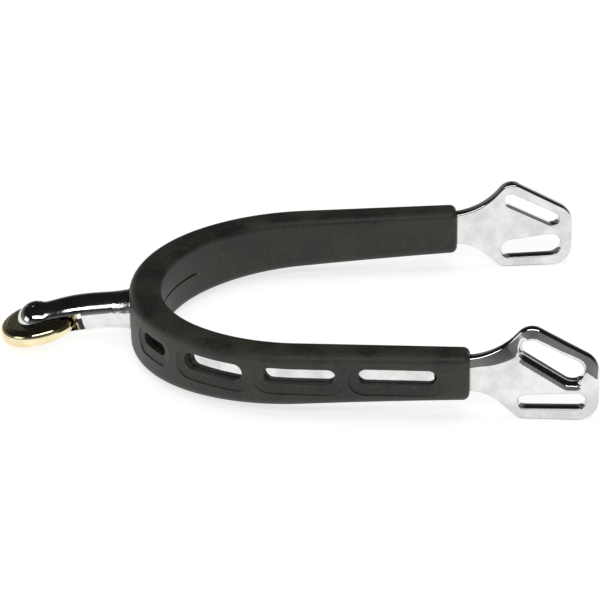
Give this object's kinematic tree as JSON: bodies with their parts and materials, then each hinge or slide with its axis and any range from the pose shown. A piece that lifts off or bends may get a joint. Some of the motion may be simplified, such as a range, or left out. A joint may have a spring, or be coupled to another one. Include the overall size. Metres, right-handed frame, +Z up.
{
  "type": "riding spur",
  "caption": "Curved riding spur with a rubber grip over the heel band, slotted strap plates, a short neck and a horizontal smooth disc rowel that spins.",
  "frame": {"origin": "middle of the spur's outline seen from above, on the ground that it lies on", "axes": "+X from the neck towards the open ends of the arms, +Y towards the left arm, +Z up; Y = 0 is the plane of symmetry of all but the hand-filed slots"},
  "size_m": [0.1412, 0.0872, 0.0227],
  "materials": {
    "polished_steel": "mirror polished",
    "brass": "polished",
    "grip_rubber": "satin"
  },
  "bodies": {
    "spur_frame": {"heel_band": "polished_steel", "left_strap_plate": "polished_steel", "right_strap_plate": "polished_steel", "neck": "polished_steel", "rowel_pin": "polished_steel", "rubber_grip": "grip_rubber"},
    "rowel": {"rowel_disc": "brass"}
  },
  "joints": [
    {"name": "rowel_spin", "type": "hinge", "parent": "spur_frame", "child": "rowel", "pos_m": [-0.06122, 0, 0.00445], "axis": [-0.213, 0, 0.977], "continuous": true}
  ]
}
